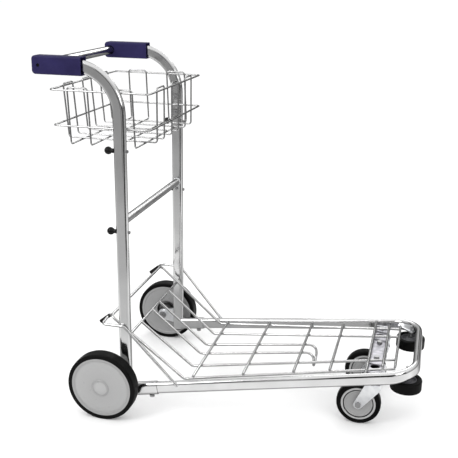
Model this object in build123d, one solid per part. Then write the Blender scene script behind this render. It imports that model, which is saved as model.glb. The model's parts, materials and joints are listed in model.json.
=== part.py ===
"""Luggage cart: chromed tube frame, wire deck and basket, two fixed wheels, two casters, two bumpers.

Millimetres. +X points forward, +Y to the cart's left, +Z up. The functions below lay the cart out with
X = 0 above the rear axle. save() then shifts every solid back by CENTRE_X, so that in the files the
origin is on the ground under the middle of the whole cart.
"""

import os
from math import cos, radians, sin, sqrt, tan

from build123d import *

# Driving dimensions ---------------------------------------------------------------------------

REAR_WHEEL_RADIUS = 100.0
REAR_WHEEL_WIDTH = 37.0
REAR_WHEEL_Y = 279.0  # middle of the tread

TUBE_DEPTH = 35.0  # flat-oval tube, long side of the section
TUBE_WIDTH = 19.0
TUBE_WALL = 1.5

UPRIGHT_X = 53.5
UPRIGHT_Y = 235.0
FOOT_Z = 53.0
HANDLE_Z = 983.0  # centre line of the handle tubes
HANDLE_BEND = 125.0

GRIP_REAR_X = -179.0
GRIP_FRONT_X = -41.5
GRIP_HEIGHT = 48.0
GRIP_WIDTH = 36.5
GRIP_Z = 981.5
CROSSBAR_X = -160.0
CROSSBAR_Z = 981.0
CROSSBAR_DIAMETER = 25.0

BRACE_Z = 573.0
BRACE_DIAMETER = 22.0
BRACKET_THICKNESS = 2.0
KNOB_X = 20.0
KNOB_HEIGHTS = (546.0, 767.0)
KNOB_DIAMETER = 21.0

RAIL_REAR_Z = 72.5  # centre line where it meets the uprights
RAIL_PITCH = 9.0  # degrees, rising to the front
RAIL_TAPER = 4.3  # degrees on each side
RAIL_FRONT_X = 851.0
RAIL_CORNER = 80.0
SOCKET_LENGTH = 74.0
SOCKET_BOLT_X = 128.0
SOCKET_SEAT_DROP = 4.2  # from the rail down to the bolt head

DECK_KNEE_X = 213.0
DECK_KNEE_Z = 108.0
DECK_PITCH = 8.4
BACK_PITCH = 39.5
BACK_TOP_X = 1.0
DECK_FRONT_X = 796.0
HOOP_KNEE_Y = 195.0
HOOP_TOP_Y = 210.0
HOOP_FRONT_Y = 131.0
HOOP_WIRE = 8.0
DECK_WIRE = 7.5
CROSS_WIRE_X = (240.0, 382.0, 522.0, 621.0, 720.0, 762.0, 795.0)
RAIL_TO_RAIL_WIRE = 4  # index of the cross wire that reaches both rails

BASKET_REAR_X = -142.0
BASKET_FRONT_X = 125.5
BASKET_FLOOR_REAR_X = -131.0
BASKET_FLOOR_FRONT_X = 125.0
BASKET_RIM_Z = 915.5
BASKET_BAND_Z = 822.0
BASKET_FLOOR_Z = 773.0
BASKET_HALF_WIDTH = 217.0
CROSS_LOOP_X = (-70.5, 54.0)  # middles of the crosswise loops at the rim
LONG_LOOP_Y = (-121.0, 0.0, 121.0)
LOOP_SPACING = 57.0
LOOP_LEAN = 6.0  # how far forward a crosswise loop sits at the floor
BASKET_WIRE = 4.5
BASKET_RIM_WIRE = 5.0

CASTER_Y = 102.8
CASTER_KINGPIN_X = 740.0
CASTER_TRAIL = 38.0
CASTER_RADIUS = 62.8
CASTER_WIDTH = 31.0
BEAM_WIDTH = 42.0  # caster cross-member
BEAM_HEIGHT = 20.0
BEAM_TOP_Z = 177.5

BUMPER_X = 827.5
BUMPER_Y = 134.0
BUMPER_RADIUS = 42.5
BUMPER_BOTTOM_Z = 141.0
BUMPER_HEIGHT = 30.5

RUNNING_CLEARANCE = 0.05  # radial, pins and axles in their bores
BOLT_RADIUS = 4.0
BOLT_HOLE_RADIUS = 4.2
SCREW_RADIUS = 2.4
SCREW_HOLE_RADIUS = 2.6
CENTRE_X = (GRIP_REAR_X + BUMPER_X + BUMPER_RADIUS) / 2


# Geometry helpers -----------------------------------------------------------------------------


def save(name, *solids):
    """Write one node's solids as one STEP file, in the frame of the whole cart."""
    placed = [Location((-CENTRE_X, 0, 0)) * solid for solid in solids]
    shape = placed[0] if len(placed) == 1 else Compound(children=placed)
    export_step(shape, f"parts/{name}.step")


def mirrored(shape):
    """The same solid on the other side of the cart."""
    return mirror(shape, Plane.XZ)


def both_sides(shape):
    return (mirrored(shape), shape)


def cylinder(radius, start, end):
    """Round bar between two points."""
    axis = Vector(*end) - Vector(*start)
    section = Plane(origin=start, z_dir=axis) * Circle(radius)
    return extrude(section, axis.length)


def tube(radius, wall, start, end):
    return cylinder(radius, start, end) - cylinder(radius - wall, start, end)


def turned(points, centre, axis):
    """Solid of revolution: (radius, along) points turned about an axis through the centre."""
    plane = Plane(origin=centre, z_dir=axis)
    outline = make_face(Polyline([(radius, 0, along) for radius, along in points], close=True))
    return plane.location * revolve(outline, Axis.Z)


def rounded_path(points, bend):
    """Wire through the points, each corner rounded to the bend radius."""
    edges = []
    start = Vector(*points[0])
    for before, corner, after in zip(points, points[1:], points[2:]):
        corner = Vector(*corner)
        back = (Vector(*before) - corner).normalized()
        forth = (Vector(*after) - corner).normalized()
        half = radians(back.get_angle(forth)) / 2
        setback = bend / tan(half)
        middle = corner + (back + forth).normalized() * (bend / sin(half) - bend)
        edges.append(Line(start, corner + back * setback))
        edges.append(ThreePointArc(corner + back * setback, middle, corner + forth * setback))
        start = corner + forth * setback
    edges.append(Line(start, Vector(*points[-1])))
    return Wire(edges)


def bent_rod(points, diameter, bend):
    """Round wire rod bent along the points."""
    path = rounded_path(points, bend)
    return sweep(Plane(origin=path @ 0, z_dir=path % 0) * Circle(diameter / 2), path)


def bent_flat_oval(points, bend, long_side, depth=TUBE_DEPTH, width=TUBE_WIDTH, wall=TUBE_WALL):
    """Hollow flat-oval tube along the points, the long side of its section along long_side."""
    path = rounded_path(points, bend) if len(points) > 2 else Wire([Line(*points)])
    plane = Plane(origin=path @ 0, x_dir=long_side, z_dir=path % 0)
    outer = sweep(plane * SlotOverall(depth, width), path)
    if not wall:
        return outer
    return outer - sweep(plane * SlotOverall(depth - 2 * wall, width - 2 * wall), path)


def largest(shape):
    """The largest of the solids that a cut leaves."""
    return max(shape.solids(), key=lambda solid: solid.volume)


def hexagon(across_flats, start, end):
    """Hexagonal bar between two points."""
    axis = Vector(*end) - Vector(*start)
    section = Plane(origin=start, z_dir=axis) * RegularPolygon(across_flats / 2, 6, major_radius=False)
    return extrude(section, axis.length)


def hull_of(*shapes):
    """Flat face round several flat shapes."""
    return make_hull([edge for shape in shapes for edge in shape.edges()])


# Lines that several parts share ---------------------------------------------------------------


def rail_y(x):
    """Half-distance between the rails' centre lines."""
    return UPRIGHT_Y - (x - UPRIGHT_X) * tan(radians(RAIL_TAPER))


def rail_z(x):
    return RAIL_REAR_Z + (x - UPRIGHT_X) * tan(radians(RAIL_PITCH))


def deck_z(x):
    """Centre height of the long deck wires."""
    return DECK_KNEE_Z + (x - DECK_KNEE_X) * tan(radians(DECK_PITCH))


def back_z(x):
    """Centre height of the deck wires' raised rear part."""
    return DECK_KNEE_Z + (DECK_KNEE_X - x) * tan(radians(BACK_PITCH))


def between(x, x0, y0, x1, y1):
    return y0 + (x - x0) * (y1 - y0) / (x1 - x0)


def hoop_y(x):
    """Half-width of the deck hoop along its level part."""
    return between(x, DECK_KNEE_X, HOOP_KNEE_Y, DECK_FRONT_X, HOOP_FRONT_Y)


RAIL_UP = (-sin(radians(RAIL_PITCH)), 0, cos(radians(RAIL_PITCH)))
UPRIGHT_FRONT_X = UPRIGHT_X + TUBE_DEPTH / 2
UPRIGHT_REAR_X = UPRIGHT_X - TUBE_DEPTH / 2
UPRIGHT_INNER_Y = UPRIGHT_Y - TUBE_WIDTH / 2
HANDLE_END_X = CROSSBAR_X + CROSSBAR_DIAMETER / 2 + 1
BRACE_SCREW_Z = BRACE_Z - 22
TAB_HEIGHTS = (BASKET_BAND_Z - 24, BASKET_BAND_Z + 24)


# Frame ----------------------------------------------------------------------------------------


def upright_path():
    return [
        (UPRIGHT_X, UPRIGHT_Y, FOOT_Z),
        (UPRIGHT_X, UPRIGHT_Y, HANDLE_Z),
        (HANDLE_END_X, UPRIGHT_Y, HANDLE_Z),
    ]


def upright():
    """Tube from the foot to the handle's end, drilled for the knob bolts, brace and basket."""
    body = bent_flat_oval(upright_path(), HANDLE_BEND, (1, 0, 0))
    for z in KNOB_HEIGHTS:
        body -= cylinder(
            SCREW_HOLE_RADIUS, (UPRIGHT_X - TUBE_DEPTH, UPRIGHT_Y, z), (UPRIGHT_X + TUBE_DEPTH, UPRIGHT_Y, z)
        )
    for z in (BRACE_SCREW_Z, *TAB_HEIGHTS):
        body -= cylinder(
            SCREW_HOLE_RADIUS, (UPRIGHT_X, UPRIGHT_INNER_Y - 1, z), (UPRIGHT_X, UPRIGHT_Y, z)
        )
    return body


def upright_outline(clearance=0.0):
    """The upright without its bore, grown all round by a clearance."""
    return bent_flat_oval(
        upright_path(),
        HANDLE_BEND,
        (1, 0, 0),
        depth=TUBE_DEPTH + 2 * clearance,
        width=TUBE_WIDTH + 2 * clearance,
        wall=0,
    )


def rail_path():
    rear_x = UPRIGHT_FRONT_X + 4
    half = [(x, rail_y(x), rail_z(x)) for x in (rear_x, RAIL_FRONT_X)]
    return [(x, -y, z) for x, y, z in half] + half[::-1]


def platform_rail():
    """One tube bent to a U, two tapering sides and the front bar, drilled for the socket bolts."""
    rail = bent_flat_oval(rail_path(), RAIL_CORNER, RAIL_UP)
    for hole in both_sides(socket_bolt_hole()):
        rail -= hole
    return rail


def rail_outline():
    """The platform rail without its bore."""
    return bent_flat_oval(rail_path(), RAIL_CORNER, RAIL_UP, wall=0)


def socket_bolt_hole():
    z = rail_z(SOCKET_BOLT_X)
    return cylinder(
        BOLT_HOLE_RADIUS,
        (SOCKET_BOLT_X, rail_y(SOCKET_BOLT_X), z - TUBE_DEPTH),
        (SOCKET_BOLT_X, rail_y(SOCKET_BOLT_X), z),
    )


def rail_socket():
    """Sleeve welded to the upright's front that the rail's rear end sits in."""
    wall = 2.2
    gap = 0.25
    points = [
        (x, rail_y(x), rail_z(x)) for x in (UPRIGHT_FRONT_X - 8, UPRIGHT_FRONT_X + SOCKET_LENGTH)
    ]
    sleeve = bent_flat_oval(
        points,
        0,
        RAIL_UP,
        depth=TUBE_DEPTH + 2 * (wall + gap),
        width=TUBE_WIDTH + 2 * (wall + gap),
        wall=wall,
    )
    return largest(sleeve - upright_outline() - socket_bolt_hole())


def socket_bolt():
    """Hexagon bolt that holds the rail in its socket from below."""
    x = SOCKET_BOLT_X
    seat_z = rail_z(x) - TUBE_DEPTH / 2 - SOCKET_SEAT_DROP
    head = hexagon(13, (x, rail_y(x), seat_z - 5.3), (x, rail_y(x), seat_z))
    return head + cylinder(BOLT_RADIUS, (x, rail_y(x), seat_z), (x, rail_y(x), seat_z + 16))


def foot_plug():
    """Plastic plug in the upright's open lower end."""
    flange = Plane.XY.offset(FOOT_Z - 3) * Pos(UPRIGHT_X, UPRIGHT_Y) * SlotOverall(TUBE_DEPTH, TUBE_WIDTH)
    inner = TUBE_WALL + 0.1
    plug = Plane.XY.offset(FOOT_Z - 1) * Pos(UPRIGHT_X, UPRIGHT_Y) * SlotOverall(
        TUBE_DEPTH - 2 * inner, TUBE_WIDTH - 2 * inner
    )
    return extrude(flange, 3) + extrude(plug, 15)


def handle_crossbar():
    end = UPRIGHT_Y + 8
    bar = tube(
        CROSSBAR_DIAMETER / 2,
        TUBE_WALL,
        (CROSSBAR_X, -end, CROSSBAR_Z),
        (CROSSBAR_X, end, CROSSBAR_Z),
    )
    for side in (-1, 1):
        bar += cylinder(
            CROSSBAR_DIAMETER / 2 - 1,
            (CROSSBAR_X, side * (end - 3), CROSSBAR_Z),
            (CROSSBAR_X, side * end, CROSSBAR_Z),
        )
        bar -= cylinder(
            2.3,
            (CROSSBAR_X, side * (end - 4), CROSSBAR_Z),
            (CROSSBAR_X, side * (end + 1), CROSSBAR_Z),
        )
    return bar


def grip():
    """Moulded cover over a handle tube's end, open at the front and slotted for the crossbar."""
    wall = 3.0
    length = GRIP_FRONT_X - GRIP_REAR_X
    middle = ((GRIP_FRONT_X + GRIP_REAR_X) / 2, UPRIGHT_Y, GRIP_Z)
    shell = Pos(*middle) * Box(length, GRIP_WIDTH, GRIP_HEIGHT)
    rear_corners = shell.edges().filter_by(Axis.Y).group_by(Axis.X)[0]
    shell = fillet(rear_corners, 10)
    outline = shell.edges().filter_by(lambda edge: edge.center().X < GRIP_FRONT_X - 1)
    shell = fillet(outline, 5)
    cavity = Pos(middle[0] + wall, middle[1], middle[2]) * Box(
        length, GRIP_WIDTH - 2 * wall, GRIP_HEIGHT - 2 * wall
    )
    shell -= cavity
    shell -= upright_outline(0.6)
    slot = CROSSBAR_DIAMETER / 2 + 1
    inner_y = UPRIGHT_Y - GRIP_WIDTH / 2
    shell -= cylinder(
        slot,
        (CROSSBAR_X, inner_y - 1, CROSSBAR_Z),
        (CROSSBAR_X, inner_y + wall + 1, CROSSBAR_Z),
    )
    outer_y = UPRIGHT_Y + GRIP_WIDTH / 2
    boss = cylinder(
        8, (CROSSBAR_X, outer_y - wall - 1, CROSSBAR_Z), (CROSSBAR_X, UPRIGHT_Y + 8.2, CROSSBAR_Z)
    )
    recess = cylinder(4.6, (CROSSBAR_X, outer_y - 5, CROSSBAR_Z), (CROSSBAR_X, outer_y + 1, CROSSBAR_Z))
    bore = cylinder(2.4, (CROSSBAR_X, UPRIGHT_Y, CROSSBAR_Z), (CROSSBAR_X, outer_y, CROSSBAR_Z))
    return largest(shell + boss - recess - bore)


def grip_screw():
    """Pan-head screw through the grip's outer side into the crossbar's end."""
    seat_y = UPRIGHT_Y + GRIP_WIDTH / 2 - 5
    head = cylinder(4.2, (CROSSBAR_X, seat_y, CROSSBAR_Z), (CROSSBAR_X, seat_y + 2.6, CROSSBAR_Z))
    shank = cylinder(2.2, (CROSSBAR_X, UPRIGHT_Y - 10, CROSSBAR_Z), (CROSSBAR_X, seat_y, CROSSBAR_Z))
    return head + shank


def brace_tube():
    end = UPRIGHT_INNER_Y - BRACKET_THICKNESS - 0.2
    return tube(
        BRACE_DIAMETER / 2, TUBE_WALL, (UPRIGHT_X, -end, BRACE_Z), (UPRIGHT_X, end, BRACE_Z)
    )


def brace_bracket():
    """Welded end plate of the brace, its lower tongue screwed to the upright."""
    drop = 40.0
    plate = Plane.XZ.offset(-UPRIGHT_INNER_Y + BRACKET_THICKNESS) * Pos(UPRIGHT_X, BRACE_Z - drop / 2 + 8)
    tongue = extrude(plate * RectangleRounded(22, drop, 6), -BRACKET_THICKNESS)
    return tongue - cylinder(
        SCREW_HOLE_RADIUS,
        (UPRIGHT_X, UPRIGHT_INNER_Y - 5, BRACE_SCREW_Z),
        (UPRIGHT_X, UPRIGHT_INNER_Y + 1, BRACE_SCREW_Z),
    )


def inner_screw(seat_y, z):
    """Pan-head screw driven outward into the upright's inner side."""
    head = cylinder(4.6, (UPRIGHT_X, seat_y - 2.8, z), (UPRIGHT_X, seat_y, z))
    return head + cylinder(SCREW_RADIUS, (UPRIGHT_X, seat_y, z), (UPRIGHT_X, UPRIGHT_INNER_Y + 4, z))


def brace_screw():
    return inner_screw(UPRIGHT_INNER_Y - BRACKET_THICKNESS, BRACE_SCREW_Z)


def knob(z):
    """Plastic ball with a short neck behind the upright, bored to its centre for the stud."""
    radius = KNOB_DIAMETER / 2
    neck = 6.0
    neck_start = sqrt(radius**2 - neck**2)
    neck_end = UPRIGHT_REAR_X - 0.2 - KNOB_X
    arc = ThreePointArc((0, 0, -radius), (radius, 0, 0), (neck, 0, neck_start))
    lines = Polyline(
        (neck, 0, neck_start),
        (neck, 0, neck_end),
        (SCREW_HOLE_RADIUS, 0, neck_end),
        (SCREW_HOLE_RADIUS, 0, 0),
        (0, 0, 0),
        (0, 0, -radius),
    )
    plane = Plane(origin=(KNOB_X, UPRIGHT_Y, z), z_dir=(1, 0, 0))
    return plane.location * revolve(make_face([arc, *lines.edges()]), Axis.Z)


def knob_bolt(z):
    """Stud through the upright with a domed nut at the front."""
    front_x = UPRIGHT_FRONT_X
    stud = cylinder(SCREW_RADIUS, (KNOB_X + 1, UPRIGHT_Y, z), (front_x + 5, UPRIGHT_Y, z))
    nut = hexagon(8, (front_x, UPRIGHT_Y, z), (front_x + 4, UPRIGHT_Y, z))
    return stud + nut


# Basket ---------------------------------------------------------------------------------------


def ring(rear_x, front_x, half_width, z, diameter, bend):
    """Rectangular wire ring with rounded corners, its butt joint in the rear side."""
    joint = 0.4
    points = [
        (rear_x, joint / 2, z),
        (rear_x, half_width, z),
        (front_x, half_width, z),
        (front_x, -half_width, z),
        (rear_x, -half_width, z),
        (rear_x, -joint / 2, z),
    ]
    return bent_rod(points, diameter, bend)


def basket_ring(z):
    """Horizontal ring round the outside of the loops at a height."""
    outset = (BASKET_RIM_WIRE + BASKET_WIRE) / 2
    return ring(
        basket_wall_x(z, BASKET_REAR_X, BASKET_FLOOR_REAR_X) - outset,
        basket_wall_x(z, BASKET_FRONT_X, BASKET_FLOOR_FRONT_X) + outset,
        BASKET_HALF_WIDTH + outset,
        z,
        BASKET_RIM_WIRE,
        10,
    )


def basket_wall_x(z, top_x, floor_x):
    return between(z, BASKET_FLOOR_Z, floor_x, BASKET_RIM_Z, top_x)


def hairpin_loop(first, second, bend=7.0):
    """Closed wire loop: out along one line of points and back along the other."""
    joint = 0.4
    middle = [(a + b) / 2 for a, b in zip(first[0], second[0])]
    towards = [(b - a) / 2 for a, b in zip(first[0], second[0])]
    span = sqrt(sum(t * t for t in towards))
    step = [t / span * joint / 2 for t in towards]
    start = tuple(m - s for m, s in zip(middle, step))
    end = tuple(m + s for m, s in zip(middle, step))
    return bent_rod([start, *first, *reversed(second), end], BASKET_WIRE, bend)


def basket_cross_loops():
    """Loops that run across the cart, down one side of the basket, under it and up the other."""
    top_z = BASKET_RIM_Z + 7
    loops = []
    for middle_x in CROSS_LOOP_X:
        lines = []
        for x in (middle_x - LOOP_SPACING / 2, middle_x + LOOP_SPACING / 2):
            lines.append(
                [
                    (x, -BASKET_HALF_WIDTH, top_z),
                    (x + LOOP_LEAN, -BASKET_HALF_WIDTH, BASKET_FLOOR_Z),
                    (x + LOOP_LEAN, BASKET_HALF_WIDTH, BASKET_FLOOR_Z),
                    (x, BASKET_HALF_WIDTH, top_z),
                ]
            )
        loops.append(hairpin_loop(*lines))
    return loops


def basket_long_loops():
    """Loops that run fore and aft, laid on the crosswise loops."""
    top_z = BASKET_RIM_Z + 7
    floor_z = BASKET_FLOOR_Z + BASKET_WIRE
    rear_top = basket_wall_x(top_z, BASKET_REAR_X, BASKET_FLOOR_REAR_X)
    front_top = basket_wall_x(top_z, BASKET_FRONT_X, BASKET_FLOOR_FRONT_X)
    loops = []
    for middle_y in LONG_LOOP_Y:
        lines = []
        for y in (middle_y - LOOP_SPACING / 2, middle_y + LOOP_SPACING / 2):
            lines.append(
                [
                    (rear_top, y, top_z),
                    (BASKET_FLOOR_REAR_X, y, floor_z),
                    (BASKET_FLOOR_FRONT_X, y, floor_z),
                    (front_top, y, top_z),
                ]
            )
        loops.append(hairpin_loop(*lines))
    return loops


def basket_tab(z):
    """Flat tab from the basket's wires to the upright's inner face."""
    outer_y = UPRIGHT_INNER_Y
    inner_y = BASKET_HALF_WIDTH + BASKET_RIM_WIRE / 2
    tab = Pos(UPRIGHT_X - 2, (outer_y + inner_y) / 2, z) * Box(22, outer_y - inner_y, 16)
    return tab - cylinder(SCREW_HOLE_RADIUS, (UPRIGHT_X, inner_y - 1, z), (UPRIGHT_X, outer_y + 1, z))


# Deck -----------------------------------------------------------------------------------------

TOP_BAR_X = 59.0  # where the raised wires end
HAIRPIN_Y = 27.0
STAY_Y = UPRIGHT_Y + TUBE_WIDTH / 2 + HOOP_WIRE / 2 + 1.5
STAY_TOP_Z = 274.0
SLEEVE_LENGTH = 36.0
SLEEVE_RADIUS = 5.5
SLEEVE_PITCH = 39.0  # degrees, falling to the rear
SLEEVE_BORE = 3.0


def deck_hoop():
    """Outer wire of the deck: leg, raised back with its top bar, leg, and a stub at each top corner."""
    half = [
        (DECK_FRONT_X, HOOP_FRONT_Y, deck_z(DECK_FRONT_X)),
        (DECK_KNEE_X, HOOP_KNEE_Y, DECK_KNEE_Z),
        (BACK_TOP_X, HOOP_TOP_Y, back_z(BACK_TOP_X)),
    ]
    other = [(x, -y, z) for x, y, z in reversed(half)]
    hoop = bent_rod(half + other, HOOP_WIRE, 14)
    for stub in both_sides(stop_stub()):
        hoop += stub
    return hoop


def deck_long_wire():
    """Outer long wire of the deck, from the top bar down to the knee and forward."""
    points = [
        (TOP_BAR_X, 124.0, back_z(TOP_BAR_X)),
        (DECK_KNEE_X, 115.0, DECK_KNEE_Z),
        (DECK_FRONT_X, 76.0, deck_z(DECK_FRONT_X)),
    ]
    return bent_rod(points, DECK_WIRE, 11)


def deck_hairpin():
    """Two middle wires as one rod, its front bight turned down under the deck."""
    turn_x = 560.0
    drop = 50.0
    half = [
        (TOP_BAR_X, 32.0, back_z(TOP_BAR_X)),
        (DECK_KNEE_X, 31.0, DECK_KNEE_Z),
        (turn_x, HAIRPIN_Y, deck_z(turn_x)),
        (turn_x - 3, HAIRPIN_Y, deck_z(turn_x) - drop),
    ]
    other = [(x, -y, z) for x, y, z in reversed(half)]
    return bent_rod(half + other, DECK_WIRE, 22)


def deck_top_bar():
    """Cross wire behind the raised wires' upper ends."""
    normal = (HOOP_WIRE + DECK_WIRE) / 2
    x = TOP_BAR_X - normal * sin(radians(BACK_PITCH))
    z = back_z(TOP_BAR_X) - normal * cos(radians(BACK_PITCH))
    y = between(TOP_BAR_X, DECK_KNEE_X, HOOP_KNEE_Y, BACK_TOP_X, HOOP_TOP_Y) + 4
    return cylinder(DECK_WIRE / 2, (x, -y, z), (x, y, z))


def deck_cross_wires():
    wires = []
    for index, x in enumerate(CROSS_WIRE_X):
        z = deck_z(x) + (HOOP_WIRE + DECK_WIRE) / 2 / cos(radians(DECK_PITCH))
        reach = hoop_y(x) + HOOP_WIRE / 2
        if index == RAIL_TO_RAIL_WIRE:
            reach = rail_y(x) - TUBE_WIDTH / 2 - 0.4
        wires.append(cylinder(DECK_WIRE / 2, (x, -reach, z), (x, reach, z)))
    return wires


def stay_rod():
    """Rod from the rail's outer side, up past the upright and in to the hoop's rear corner."""
    foot_x = 206.0
    points = [
        (foot_x, rail_y(foot_x) + TUBE_WIDTH / 2 + HOOP_WIRE / 2, rail_z(foot_x) + 8),
        (56.0, STAY_Y, STAY_TOP_Z),
        (-10.0, STAY_Y, STAY_TOP_Z),
        (-10.0, HOOP_TOP_Y, STAY_TOP_Z + 4),
    ]
    return bent_rod(points, HOOP_WIRE, 12)


def sleeve_point(along):
    """A point on the sleeve's axis, measured rearward from the hoop's corner."""
    return (
        BACK_TOP_X - along * cos(radians(SLEEVE_PITCH)),
        HOOP_TOP_Y - 6,
        back_z(BACK_TOP_X) + 4 - along * sin(radians(SLEEVE_PITCH)),
    )


def stop_sleeve():
    """Plastic sleeve on the stub that points rearward from the hoop's corner."""
    start = 8.5
    end = start + SLEEVE_LENGTH
    bore = cylinder(SLEEVE_BORE, sleeve_point(start - 1), sleeve_point(end - 3))
    return cylinder(SLEEVE_RADIUS, sleeve_point(start), sleeve_point(end)) - bore


def stop_stub():
    """Wire stub inside the sleeve, welded to the hoop's corner."""
    return cylinder(SLEEVE_BORE - 0.1, sleeve_point(2), sleeve_point(SLEEVE_LENGTH))


# Rear wheels ----------------------------------------------------------------------------------

AXLE_RADIUS = 6.0
BEARING_RADIUS = 14.0
BEARING_WIDTH = 8.0
HUB_HALF = 17.0  # half-length of the wheel's hub barrel
TYRE_INNER_RADIUS = 87.7
BOSS_RADIUS = 15.0


def axle_bracket():
    """Plate behind the upright's foot with the boss that carries the axle."""
    boss_inner = UPRIGHT_Y - 11
    boss_outer = REAR_WHEEL_Y - HUB_HALF - 4
    boss = cylinder(BOSS_RADIUS, (0, boss_inner, REAR_WHEEL_RADIUS), (0, boss_outer, REAR_WHEEL_RADIUS))
    plate_half = 4.0
    outline = hull_of(
        Pos(0, REAR_WHEEL_RADIUS) * Circle(BOSS_RADIUS + 3),
        Pos(UPRIGHT_X - 10, REAR_WHEEL_RADIUS) * Rectangle(8, 50),
    )
    plate = extrude(Plane.XZ.offset(-UPRIGHT_Y - plate_half) * outline, 2 * plate_half)
    bore = cylinder(
        AXLE_RADIUS, (0, boss_inner - 1, REAR_WHEEL_RADIUS), (0, boss_outer + 1, REAR_WHEEL_RADIUS)
    )
    return boss + plate - upright_outline() - bore


def wheel_axle():
    """Stub axle: shoulder against the boss, bearing seat, retaining groove end."""
    inner = UPRIGHT_Y - 24
    shoulder = REAR_WHEEL_Y - HUB_HALF - 4
    end = REAR_WHEEL_Y + HUB_HALF + 1
    axle = cylinder(
        AXLE_RADIUS - RUNNING_CLEARANCE, (0, inner, REAR_WHEEL_RADIUS), (0, end, REAR_WHEEL_RADIUS)
    )
    return axle + cylinder(
        AXLE_RADIUS + 3, (0, shoulder, REAR_WHEEL_RADIUS), (0, shoulder + 3.5, REAR_WHEEL_RADIUS)
    )


def axle_nut():
    """Nut and washer on the axle's inner end."""
    seat = UPRIGHT_Y - 11
    washer = cylinder(12, (0, seat - 2, REAR_WHEEL_RADIUS), (0, seat, REAR_WHEEL_RADIUS))
    nut = hexagon(19, (0, seat - 11, REAR_WHEEL_RADIUS), (0, seat - 2, REAR_WHEEL_RADIUS))
    bore = cylinder(AXLE_RADIUS, (0, seat - 12, REAR_WHEEL_RADIUS), (0, seat + 1, REAR_WHEEL_RADIUS))
    return washer + nut - bore


def axle_clip():
    """Retaining ring on the axle's outer end, under the hub cap."""
    start = REAR_WHEEL_Y + HUB_HALF - 1.6
    ring_body = cylinder(9.5, (0, start, REAR_WHEEL_RADIUS), (0, start + 1.4, REAR_WHEEL_RADIUS))
    return ring_body - cylinder(
        AXLE_RADIUS - RUNNING_CLEARANCE,
        (0, start - 1, REAR_WHEEL_RADIUS),
        (0, start + 3, REAR_WHEEL_RADIUS),
    )


def wheel_turned(points):
    """Turned about the rear axle: (radius, distance outward from the middle of the tread)."""
    return turned(points, (0, REAR_WHEEL_Y, REAR_WHEEL_RADIUS), (0, 1, 0))


def wheel_bearings():
    """Two bearings in the hub, between axle and barrel."""
    bore = AXLE_RADIUS
    bearings = []
    for start in (-HUB_HALF + 1, HUB_HALF - 3 - BEARING_WIDTH):
        bearings.append(
            wheel_turned(
                [
                    (bore, start),
                    (BEARING_RADIUS, start),
                    (BEARING_RADIUS, start + BEARING_WIDTH),
                    (bore, start + BEARING_WIDTH),
                ]
            )
        )
    return bearings


def wheel_disc():
    """Moulded wheel centre: domed outer face, hub barrel, recess round the hub on the inner face."""
    rim = TYRE_INNER_RADIUS
    half = REAR_WHEEL_WIDTH / 2
    bore = BEARING_RADIUS
    points = [
        (bore, -HUB_HALF),
        (22, -HUB_HALF),
        (22, 6),
        (30, 6),
        (34, -half + 6),
        (rim - 9, -half + 3),
        (rim - 6, -half + 1),
        (rim, -half + 1),
        (rim, half - 1),
        (rim - 5, half - 1),
        (rim - 9, half - 2.5),
        (62, half + 0.2),
        (40, half + 1.2),
        (25, half + 1.6),
        (23, half + 3.6),
        (18, half + 4.0),
        (18, HUB_HALF - 1),
        (bore, HUB_HALF - 1),
    ]
    return wheel_turned(points)


def hub_cap():
    """Snap-in cap over the axle's outer end."""
    half = REAR_WHEEL_WIDTH / 2
    points = [
        (0, half + 5.6),
        (6, half + 5.6),
        (14, half + 4.6),
        (17.8, half + 3.6),
        (17.8, HUB_HALF - 0.9),
        (15, HUB_HALF - 0.9),
        (15, half + 2.2),
        (0, half + 2.8),
    ]
    return wheel_turned(points)


def wheel_tyre():
    """Solid rubber tread with eased shoulders."""
    half = REAR_WHEEL_WIDTH / 2
    outer = REAR_WHEEL_RADIUS
    inner = TYRE_INNER_RADIUS
    points = [
        (inner, -half + 0.6),
        (inner + 2, -half),
        (outer - 2.6, -half),
        (outer - 1.0, -half + 1.0),
        (outer - 0.3, -half + 3),
        (outer, -half + 8),
        (outer, half - 8),
        (outer - 0.3, half - 3),
        (outer - 1.0, half - 1.0),
        (outer - 2.6, half),
        (inner + 2, half),
        (inner, half - 0.6),
    ]
    return wheel_turned(points)


# Casters --------------------------------------------------------------------------------------

CASTER_WHEEL_X = CASTER_KINGPIN_X - CASTER_TRAIL
CASTER_HUB_RADIUS = 49.0
GROOVE_INNER_RADIUS = 41.0
GROOVE_OUTER_RADIUS = 43.0
GROOVE_DEPTH = 6.0
PIN_RADIUS = 5.0
BUSH_RADIUS = 9.0
MOUNT_THICKNESS = 3.0
BEAM_BOTTOM_Z = BEAM_TOP_Z - BEAM_HEIGHT
MOUNT_BOTTOM_Z = BEAM_BOTTOM_Z - MOUNT_THICKNESS
MOUNT_BOLT_STEP = 52.0
HEAD_TOP_Z = MOUNT_BOTTOM_Z - 6.0
FORK_GAP = CASTER_WIDTH / 2 + 2
FORK_SHEET = 3.0
FORK_LENGTH = 37.0  # of a leg's top, fore and aft
FORK_MIDDLE_X = CASTER_KINGPIN_X + 4.5
FORK_SHOULDER = 28.0  # height of a leg's upright part
KINGPIN_RADIUS = 6.0


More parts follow.
